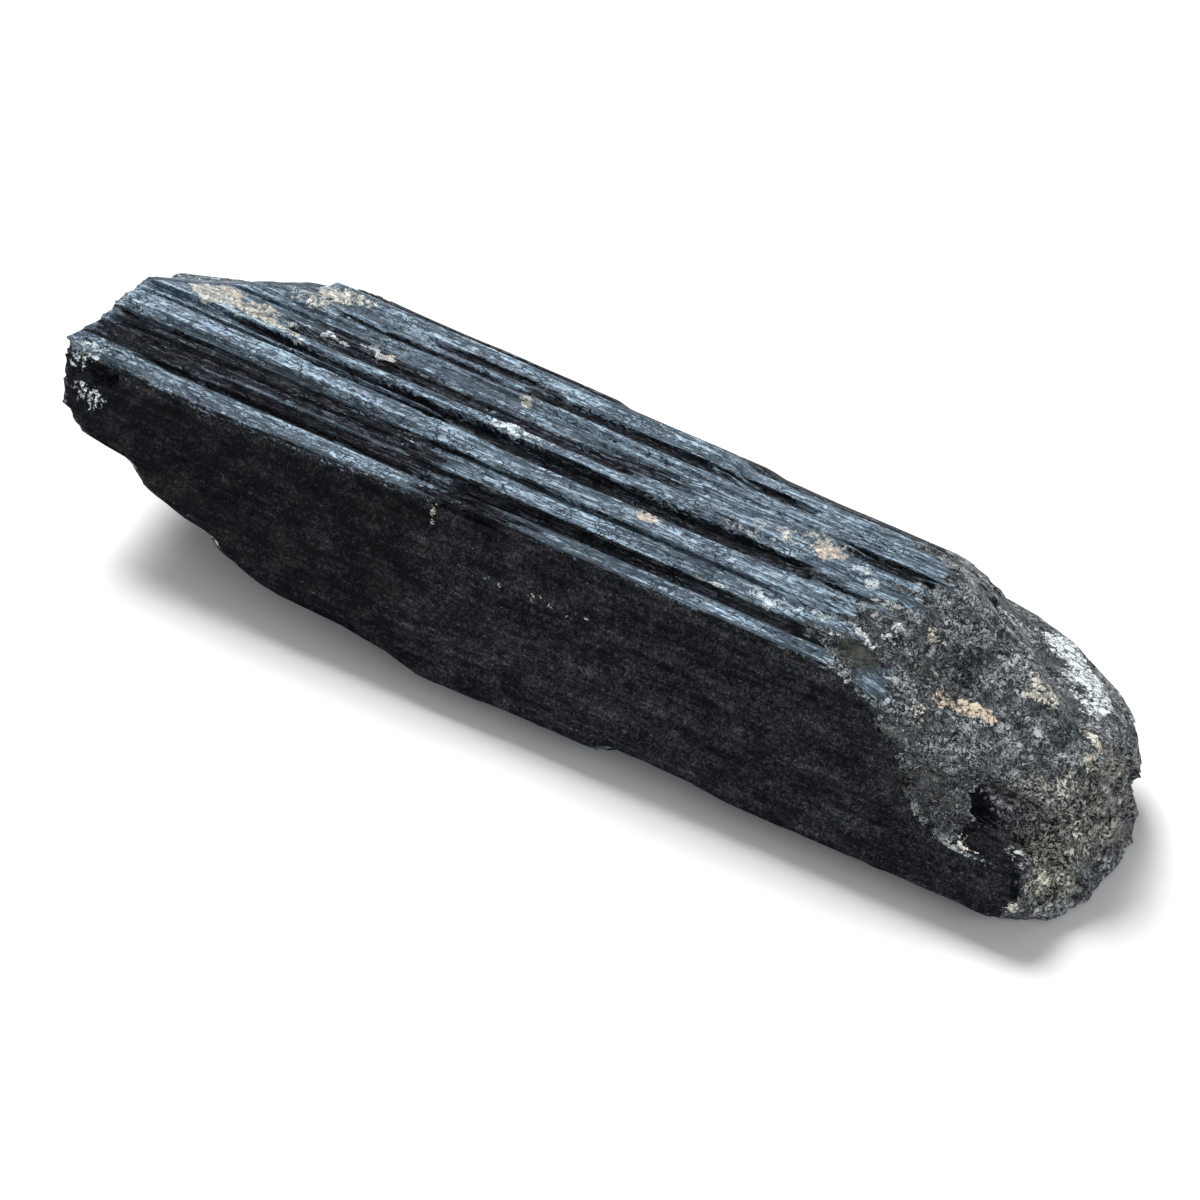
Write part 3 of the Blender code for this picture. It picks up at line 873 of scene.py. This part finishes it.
def add_masks(mesh, points, grain, shares):
    """Crust, tint and surface shares on the mesh's points, for the materials to read."""
    patches = {"cream": CREAM, "white": WHITE, "orange": ORANGE, "olive": OLIVE, "veined": VEINED}
    for name, listed in patches.items():
        shares[name] = covered(points, listed)
    for name, share in shares.items():
        layer = mesh.attributes.new(name, "FLOAT", "POINT")
        layer.data.foreach_set("value", share.astype(np.float32))
    layer = mesh.attributes.new("grain", "FLOAT_VECTOR", "POINT")
    layer.data.foreach_set("vector", grain.astype(np.float32).reshape(-1))


# ---- Textures: nets and noises in millimetres of the crystal ----

# Nets of cells: their space, repeats in it, and how far the warp pushes them. The space "body" is
# the crystal's own, and "sides" is along and across its faces.
WARP_REPEATS = (1.3, 1.3, 1.3)
NETS = {
    "plates": ("sides", (0.75, 2.4, 0.0), 1.3),
    "grains": ("body", (0.95, 1.15, 1.15), 2.2),
    "crumbs": ("body", (2.2, 2.6, 2.6), 3.2),
}
# Noises: space or net, repeats, detail and roughness.
NOISES = {
    "streak": ("sides", (0.1, 1.9, 0.0), 4.0, 0.62),
    "hair": ("sides", (0.45, 7.0, 0.0), 3.0, 0.6),
    "cloud": ("body", (0.3, 0.42, 0.42), 5.0, 0.68),
    "speck": ("body", (6.0, 6.0, 6.0), 2.0, 0.6),
    "grit": ("crumbs", (1.0, 1.0, 1.0), 3.0, 0.62),
    "worm": ("grains", (1.0, 1.0, 1.0), 3.0, 0.6),
}
MIDDLE_VALUE = 0.5
# A line or crack has its full strength within this share of its width.
LINE_CORE = 0.3

# ---- Looks: colours, how far each texture sways the tone and the height, and ranges ----
# A range is the low and high of what it reads, and then what those become, if not 0 and 1.

BLACK = (0.001, 0.001, 0.002)
# The fresh look's colours follow the painted light: dark where unlit, then middle, then a pale blue
# or violet painted sheen where lit.
FRESH_DARK = (0.008, 0.0098, 0.0125)
FRESH_MIDDLE = (0.034, 0.057, 0.078)
FRESH_PALE = (0.4, 0.55, 0.67)
FRESH_VIOLET = (0.43, 0.5, 0.66)
# Colours of the painted glints: threads where unlit, then threads and flecks where lit.
FRESH_HAIR = (0.13, 0.135, 0.165)
FRESH_GLINT = (0.56, 0.68, 0.78)
FRESH_SWAYS = {"plate": 0.3, "hair": 1.2, "streak": 2.4, "cloud": 1.7, "grit": 1.3, "speck": 0.5}
FRESH_HEIGHTS = {"streak": 1.2, "hair": 0.8, "grit": 0.5, "cut": -0.6, "plate": 0.3}
FRESH_TONES = ((0.14, 0.58), (0.58, 1.06))
FRESH_TINTS = (0.4, 0.6)
FRESH_ROUGHNESS = (0.2, 0.9, 0.55, 0.3)
FRESH_CRUMBS = (0.8, 0.86)
GLINT_TONES = (0.55, 0.75)
GLINT_SHARE = 0.7
# Pale threads, painted glints beside dark painted-shade lines: texture, width and middle.
THREADS = (("streak", 0.02, 0.55), ("hair", 0.03, 0.565))
THREAD_TONES = (0.1, 0.8)
THREAD_SHARE = 0.55
FRESH_CRACKS = (0.46, 0.6, 0.002, 0.16)
# Dark painted-shade lines beside the pale threads: along the streaks, and along the hairs where the
# worms allow.
SHADE_LINE_WIDTH = 0.024
SHADE_LINE_SHARE = 0.9
SCORE_SHADE_WIDTH = 0.036
SCORE_WORMS = (0.44, 0.56)
CUT_ROUGHNESS = 0.8

WEATHERED_DARK = (0.0024, 0.0026, 0.0036)
WEATHERED_PALE = (0.038, 0.04, 0.046)
WEATHERED_FLECK = (0.13, 0.135, 0.15)
WEATHERED_BROWN = (0.02, 0.017, 0.014)
SCRATCH = (0.12, 0.115, 0.105)
WEATHERED_SWAYS = {"speck": 2.2, "grit": 2.0, "crumb": 0.4, "cloud": 1.4, "streak": 1.2}
WEATHERED_HEIGHTS = {"grit": 1.0, "hair": 0.4, "speck": 1.0}
WEATHERED_TONES = ((0.0, 0.7), (0.6, 1.2))
WEATHERED_ROUGHNESS = (0.3, 0.7, 0.45, 0.66)
WEATHERED_CLOUDS = (0.5, 0.62)
WEATHERED_LIT = 0.42
BROWN_SHARE = 0.18
SCRATCH_WIDTH = 0.012
SCRATCH_SHARE = 0.35

BREAK_DARK = (0.004, 0.005, 0.006)
BREAK_MIDDLE = (0.066, 0.078, 0.086)
BREAK_PALE = (0.5, 0.53, 0.53)
BREAK_FLECK = (0.68, 0.71, 0.7)
VEIN = (0.86, 0.82, 0.69)
BREAK_SWAYS = {"stone": 0.5, "crumb": 0.7, "cloud": 3.0, "grit": 2.2, "speck": 1.6}
BREAK_HEIGHTS = {"stone": 0.7, "crumb": 0.4, "grit": 0.7, "cut": -0.5, "vein": 0.4, "speck": 0.4}
BREAK_START = (0.0, 1.0, 0.4, 0.06)
BREAK_TONES = ((0.05, 0.55), (0.6, 1.15))
BREAK_ROUGHNESS = (0.3, 0.7, 0.35, 0.6)
BREAK_CLOUDS = (0.46, 0.56)
BREAK_CRUMBS = (0.78, 0.84)
BREAK_FLECK_SHARE = 0.8
BREAK_SEAMS = (0.4, 0.6, 0.005, 0.12)
# Painted relief on the breaks: pale painted-highlight lines (texture and width), in the veins'
# colour where veined, how often they show, and the dark painted-shade line beside each.
RIDGES = (("worm", 0.016), ("grit", 0.022))
RIDGE_SHARES = (0.0, 1.0, 0.35, 1.0)
SHADE_WIDTH = 1.4
SHADE_SHARE = 0.85
VEIN_STONES = (0.6, 0.64)
VEIN_WORMS = (0.5, 0.54)
VEIN_CRUMBS = (0.34, 0.46)

CRUSTS = {
    "olive": (0.07, 0.072, 0.052),
    "cream": (0.88, 0.83, 0.71),
    "white": (0.87, 0.94, 0.97),
    "orange": (0.9, 0.74, 0.58),
}
CRUST_SHADES = {"grit": 0.8, "crumb": 0.2}
CRUST_CRACKS = (0.02, 0.06, 0.2, 1.0)
CRUST_ROUGHNESS = 0.75
CRUST_HEIGHT = 0.8
# Ragged edges of the crust and of the looks: the textures that break them up, the range where
# they set in, and the mask's range that keeps them off the rest.
CRUST_RAGS = ({"grit": 1.3, "cloud": 1.0, "crumb": 0.6}, (0.46, 0.58), (0.04, 0.15))
LOOK_RAGS = ({"crumb": 0.9, "grit": 1.2}, (0.42, 0.58), (0.02, 0.12))

# Places of the Mix node's numbers and colours, and of its blended colour.
MIX_NUMBERS = (2, 3)
MIX_COLOURS = (6, 7)
MIXED_COLOUR = 2


def add(tree, kind, inputs, output=0, **settings):
    """A node with its settings made and its inputs linked or set; returns one of its outputs."""
    node = tree.nodes.new(kind)
    for name, value in settings.items():
        setattr(node, name, value)
    for name, value in inputs.items():
        if isinstance(value, bpy.types.NodeSocket):
            tree.links.new(value, node.inputs[name])
        else:
            node.inputs[name].default_value = value
    return node.outputs[output]


def masked(tree, name):
    """One of the mesh's shares, from 0 to 1."""
    return add(tree, "ShaderNodeAttribute", {}, "Fac", attribute_name=name)


def math_node(tree, operation, first, second):
    return add(tree, "ShaderNodeMath", {0: first, 1: second}, operation=operation)


def times(tree, first, second):
    return math_node(tree, "MULTIPLY", first, second)


def scaled(tree, vector, scale):
    """The vector with each part multiplied."""
    return add(tree, "ShaderNodeVectorMath", {0: vector, 1: scale}, operation="MULTIPLY")


def shifted(tree, vector, other, reach):
    """The vector moved by another one times the reach."""
    moved = scaled(tree, other, (reach, reach, reach))
    return add(tree, "ShaderNodeVectorMath", {0: vector, 1: moved}, operation="ADD")


def texture(tree, vector, detail, rough):
    """Noise from 0 to 1."""
    wanted = {"Vector": vector, "Scale": 1.0, "Detail": detail, "Roughness": rough}
    return add(tree, "ShaderNodeTexNoise", wanted)


def chosen(tree, vector):
    """A random number from 0 to 1 for each cell of a net."""
    return add(tree, "ShaderNodeTexVoronoi", {"Vector": vector, "Scale": 1.0}, "Color")


def crackle(tree, vector):
    """Distance to the nearest crack of a net of plates."""
    wanted = {"Vector": vector, "Scale": 1.0}
    return add(tree, "ShaderNodeTexVoronoi", wanted, feature="DISTANCE_TO_EDGE")


def graded(tree, value, low, high, first=0.0, last=1.0):
    """The value's range low to high mapped onto first to last, and held outside it."""
    wanted = {"Value": value, "From Min": low, "From Max": high, "To Min": first, "To Max": last}
    return add(tree, "ShaderNodeMapRange", wanted, clamp=True)


def mixed_value(tree, share, first, last):
    return add(tree, "ShaderNodeMix", {0: share, MIX_NUMBERS[0]: first, MIX_NUMBERS[1]: last})


def blended(tree, share, first, last):
    """Colour from first to last by share."""
    inputs = {0: share}
    for place, value in zip(MIX_COLOURS, (first, last)):
        linked = isinstance(value, bpy.types.NodeSocket)
        inputs[place] = value if linked else (*value, 1.0)
    return add(tree, "ShaderNodeMix", inputs, MIXED_COLOUR, data_type="RGBA")


def toned(tree, tone, ranges, colours):
    """The first colour, turning into each next one over its range of the tone."""
    colour = colours[0]
    for reach, other in zip(ranges, colours[1:]):
        colour = blended(tree, graded(tree, tone, *reach), colour, other)
    return colour


def layered(tree, found, start, sways):
    """The start plus the swing about 0.5 of each named texture, times its strength."""
    total = math_node(tree, "SUBTRACT", start, MIDDLE_VALUE * sum(sways.values()))
    for name, strength in sways.items():
        inputs = {0: found[name], 1: strength, 2: total}
        total = add(tree, "ShaderNodeMath", inputs, operation="MULTIPLY_ADD")
    return total


def line(tree, value, width, middle=MIDDLE_VALUE):
    """1 on the wandering lines where the value passes its middle, and 0 away from them."""
    away = math_node(tree, "ABSOLUTE", math_node(tree, "SUBTRACT", value, middle), 0.0)
    return graded(tree, away, width, LINE_CORE * width)


def cracks(tree, distance, guide, widths):
    """1 in the cracks of a net, whose width follows a guiding texture."""
    width = graded(tree, guide, *widths)
    return graded(tree, distance, width, times(tree, width, LINE_CORE))


def ragged_share(tree, found, name, sways, edge, rim):
    """A mask with its edge broken up by textures, kept off where the mask is near 0."""
    mask = masked(tree, name)
    ragged = layered(tree, found, 0.0, sways)
    share = graded(tree, math_node(tree, "ADD", mask, ragged), *edge)
    return times(tree, share, graded(tree, mask, *rim))


def fields(tree):
    """The textures that all the looks share, by name."""
    place = add(tree, "ShaderNodeTexCoord", {}, "Object")
    spaces = {"body": scaled(tree, place, (1.0 / MM, 1.0 / MM, 1.0 / MM))}
    spaces["sides"] = add(tree, "ShaderNodeAttribute", {}, "Vector", attribute_name="grain")
    wanted = {"Vector": scaled(tree, spaces["body"], WARP_REPEATS), "Scale": 1.0}
    warp = add(tree, "ShaderNodeTexNoise", wanted, "Color")
    for name, (space, repeats, push) in NETS.items():
        spaces[name] = shifted(tree, scaled(tree, spaces[space], repeats), warp, push)
    found = {}
    for name, (space, repeats, detail, rough) in NOISES.items():
        found[name] = texture(tree, scaled(tree, spaces[space], repeats), detail, rough)
    for name, net in (("plate", "plates"), ("stone", "grains"), ("crumb", "crumbs")):
        found[name] = chosen(tree, spaces[net])
    for name, net in (("gap", "plates"), ("seam", "grains")):
        found[name] = crackle(tree, spaces[net])
    return found


def fresh_look(tree, found):
    """Steel-blue prism faces: a pale painted sheen where lit, with painted glints in pale threads
    and flecks, parted by cracks and by fine dark lines of painted shade.
    """
    # The tone starts from the lit share, the painted light.
    tone = layered(tree, found, masked(tree, "lit"), FRESH_SWAYS)
    pale = blended(tree, graded(tree, found["streak"], *FRESH_TINTS), FRESH_VIOLET, FRESH_PALE)
    colour = toned(tree, tone, FRESH_TONES, (FRESH_DARK, FRESH_MIDDLE, pale))
    # Painted glints: pale flecks only where the painted light is strong.
    fleck = times(tree, graded(tree, found["crumb"], *FRESH_CRUMBS), GLINT_SHARE)
    fleck = times(tree, fleck, graded(tree, tone, *GLINT_TONES))
    colour = blended(tree, fleck, colour, FRESH_GLINT)
    thread = blended(tree, graded(tree, tone, *THREAD_TONES), FRESH_HAIR, FRESH_GLINT)
    # Painted glints: pale threads along the streaks, brighter where the painted light is strong.
    for name, width, middle in THREADS:
        drawn = times(tree, line(tree, found[name], width, middle), THREAD_SHARE)
        colour = blended(tree, drawn, colour, thread)
    crack = cracks(tree, found["gap"], found["cloud"], FRESH_CRACKS)
    # Painted shade: dark lines beside the pale threads, drawn black together with the cracks.
    shade_line = times(tree, line(tree, found["streak"], SHADE_LINE_WIDTH), SHADE_LINE_SHARE)
    scored = graded(tree, found["worm"], *SCORE_WORMS)
    score_shade = times(tree, line(tree, found["hair"], SCORE_SHADE_WIDTH), scored)
    cut = math_node(tree, "MAXIMUM", crack, math_node(tree, "MAXIMUM", shade_line, score_shade))
    colour = blended(tree, cut, colour, BLACK)
    rough = mixed_value(tree, cut, graded(tree, tone, *FRESH_ROUGHNESS), CUT_ROUGHNESS)
    return colour, rough, layered(tree, found | {"cut": cut}, 0.0, FRESH_HEIGHTS)


def weathered_and_shade_look(tree, found):
    """The dull, nearly black front face, with a brown cast, pale grains and scratches, paler where
    painted light falls; it also colours the painted shade patches.
    """
    patchy = graded(tree, found["cloud"], *WEATHERED_CLOUDS)
    # The tone starts from the painted light, so the front face is painted paler where the bands
    # light it.
    start = times(tree, masked(tree, "lit"), WEATHERED_LIT)
    tone = layered(tree, found, start, WEATHERED_SWAYS)
    to_pale, to_fleck = WEATHERED_TONES
    colour = blended(tree, graded(tree, tone, *to_pale), WEATHERED_DARK, WEATHERED_PALE)
    colour = blended(tree, times(tree, patchy, BROWN_SHARE), colour, WEATHERED_BROWN)
    colour = blended(tree, graded(tree, tone, *to_fleck), colour, WEATHERED_FLECK)
    scratch = times(tree, line(tree, found["worm"], SCRATCH_WIDTH), patchy)
    colour = blended(tree, times(tree, scratch, SCRATCH_SHARE), colour, SCRATCH)
    rough = graded(tree, found["speck"], *WEATHERED_ROUGHNESS)
    return colour, rough, layered(tree, found, 0.0, WEATHERED_HEIGHTS)


def broken_look(tree, found):
    """Grainy breaks: angular grains parted by dark seams, with flecks, pale painted-highlight lines
    beside dark painted-shade lines, and pale veins in places.
    """
    veined = masked(tree, "veined")
    tone = layered(tree, found, graded(tree, veined, *BREAK_START), BREAK_SWAYS)
    colour = toned(tree, tone, BREAK_TONES, (BREAK_DARK, BREAK_MIDDLE, BREAK_PALE))
    patchy = graded(tree, found["cloud"], *BREAK_CLOUDS)
    pale = blended(tree, veined, BREAK_FLECK, VEIN)
    often = graded(tree, math_node(tree, "MAXIMUM", patchy, veined), *RIDGE_SHARES)
    # Painted highlight and shade: a pale line beside a dark one along each texture.
    for name, width in RIDGES:
        shade_width = SHADE_WIDTH * width
        shade = line(tree, found[name], shade_width, MIDDLE_VALUE - shade_width)
        colour = blended(tree, times(tree, shade, SHADE_SHARE), colour, BLACK)
        ridge_highlight = line(tree, found[name], width, MIDDLE_VALUE + width)
        colour = blended(tree, times(tree, ridge_highlight, often), colour, pale)
    fleck = times(tree, graded(tree, found["crumb"], *BREAK_CRUMBS), patchy)
    colour = blended(tree, times(tree, fleck, BREAK_FLECK_SHARE), colour, BREAK_FLECK)
    seam = cracks(tree, found["seam"], found["stone"], BREAK_SEAMS)
    colour = blended(tree, seam, colour, BLACK)
    vein = veined
    for name, reach in (("stone", VEIN_STONES), ("worm", VEIN_WORMS), ("crumb", VEIN_CRUMBS)):
        vein = times(tree, vein, graded(tree, found[name], *reach))
    colour = blended(tree, vein, colour, VEIN)
    rough = graded(tree, found["grit"], *BREAK_ROUGHNESS)
    return colour, rough, layered(tree, found | {"cut": seam, "vein": vein}, 0.0, BREAK_HEIGHTS)


def with_crust(tree, found, colour, rough, height):
    """Crust over the look where the masks say, in ragged plates with cracks between them."""
    whole = graded(tree, found["seam"], *CRUST_CRACKS)
    shade = layered(tree, found, 1.0, CRUST_SHADES)
    for name, tint in CRUSTS.items():
        share = times(tree, ragged_share(tree, found, name, *CRUST_RAGS), whole)
        colour = blended(tree, share, colour, scaled(tree, shade, tint))
        rough = mixed_value(tree, share, rough, CRUST_ROUGHNESS)
        height = math_node(tree, "ADD", height, times(tree, share, CRUST_HEIGHT))
    return colour, rough, height


def new_material(name):
    """A material, its node tree and its shader."""
    material = bpy.data.materials.new(name)
    material.use_nodes = True
    return material, material.node_tree, material.node_tree.nodes["Principled BSDF"]


def stone_material(name, bump, ior, specular, tint):
    """One of the crystal's four finishes; their looks blend into each other along the edges."""
    material, tree, shader = new_material(name)
    found = fields(tree)
    look = fresh_look(tree, found)
    # The weathered look also paints the shade patches near black.
    others = {"front": weathered_and_shade_look(tree, found), "broken": broken_look(tree, found)}
    for kind, other in others.items():
        share = ragged_share(tree, found, kind, *LOOK_RAGS)
        colour = blended(tree, share, look[0], other[0])
        rough, height = (mixed_value(tree, share, look[k], other[k]) for k in (1, 2))
        look = (colour, rough, height)
    colour, rough, height = with_crust(tree, found, *look)
    raised = add(tree, "ShaderNodeBump", {"Height": height, "Distance": bump})
    for socket, value in (("Base Color", colour), ("Roughness", rough), ("Normal", raised)):
        tree.links.new(value, shader.inputs[socket])
    shader.inputs["IOR"].default_value = ior
    shader.inputs["Specular IOR Level"].default_value = specular
    shader.inputs["Specular Tint"].default_value = (*tint, 1.0)
    return material


def floor_material():
    """Plain pale board with a faint tooth."""
    material, tree, shader = new_material("pale_floor")
    place = add(tree, "ShaderNodeTexCoord", {}, "Object")
    tooth = texture(tree, scaled(tree, place, FLOOR_TOOTH), *FLOOR_TOOTH_DETAIL)
    colour = blended(tree, graded(tree, tooth, *FLOOR_TOOTH_RANGE), *FLOOR_TONES)
    tree.links.new(colour, shader.inputs["Base Color"])
    shader.inputs["Roughness"].default_value = FLOOR_ROUGHNESS
    shader.inputs["Specular IOR Level"].default_value = FLOOR_SPECULAR
    return material


# ---- Scene ----


def add_crystal():
    mesh = crystal_mesh()
    for finish in FINISHES:
        mesh.materials.append(stone_material(*finish))
    mesh.shade_smooth()
    mesh.set_sharp_from_angle(angle=math.radians(SHARP_ANGLE))
    crystal = bpy.data.objects.new("crystal_surface", mesh)
    bpy.context.scene.collection.objects.link(crystal)
    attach(crystal, "root")
    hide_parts(NODE)


def add_floor():
    bpy.ops.mesh.primitive_plane_add(size=FLOOR_SIZE)
    floor = bpy.context.object
    floor.name = "floor"
    floor.data.materials.append(floor_material())


def add_softbox(name, direction, distance, size, power):
    """A square soft light that faces the crystal."""
    light = bpy.data.lights.new(name, "AREA")
    light.shape = "SQUARE"
    light.size = size
    light.energy = power
    lamp = bpy.data.objects.new(name, light)
    bpy.context.scene.collection.objects.link(lamp)
    lamp.location = Vector(direction).normalized() * distance
    lamp.rotation_mode = "QUATERNION"
    lamp.rotation_quaternion = (-lamp.location).to_track_quat("-Z", "Y")


def add_world():
    world = bpy.data.worlds.new("pale_studio")
    world.use_nodes = True
    background = world.node_tree.nodes["Background"]
    background.inputs["Color"].default_value = WORLD_COLOUR
    background.inputs["Strength"].default_value = WORLD_STRENGTH
    bpy.context.scene.world = world


def add_camera():
    """A long lens, from the front right and above."""
    elevation, azimuth = math.radians(VIEW_ELEVATION), math.radians(VIEW_AZIMUTH)
    back = Vector((math.sin(azimuth), -math.cos(azimuth), 0.0)) * math.cos(elevation)
    back.z = math.sin(elevation)
    right = Vector((math.cos(azimuth), math.sin(azimuth), 0.0))
    up = back.cross(right)
    lens = bpy.data.cameras.new("camera")
    lens.lens = VIEW_LENS
    lens.clip_start = VIEW_CLIP
    camera = bpy.data.objects.new("camera", lens)
    bpy.context.scene.collection.objects.link(camera)
    stand = Matrix((right, up, back)).transposed().to_4x4()
    stand.translation = back * VIEW_DISTANCE - right * VIEW_OFFSET[0] - up * VIEW_OFFSET[1]
    camera.matrix_world = stand
    bpy.context.scene.camera = camera


def main():
    bpy.context.scene.view_settings.view_transform = "Standard"
    add_crystal()
    add_floor()
    for softbox in SOFTBOXES:
        add_softbox(*softbox)
    add_world()
    add_camera()


main()
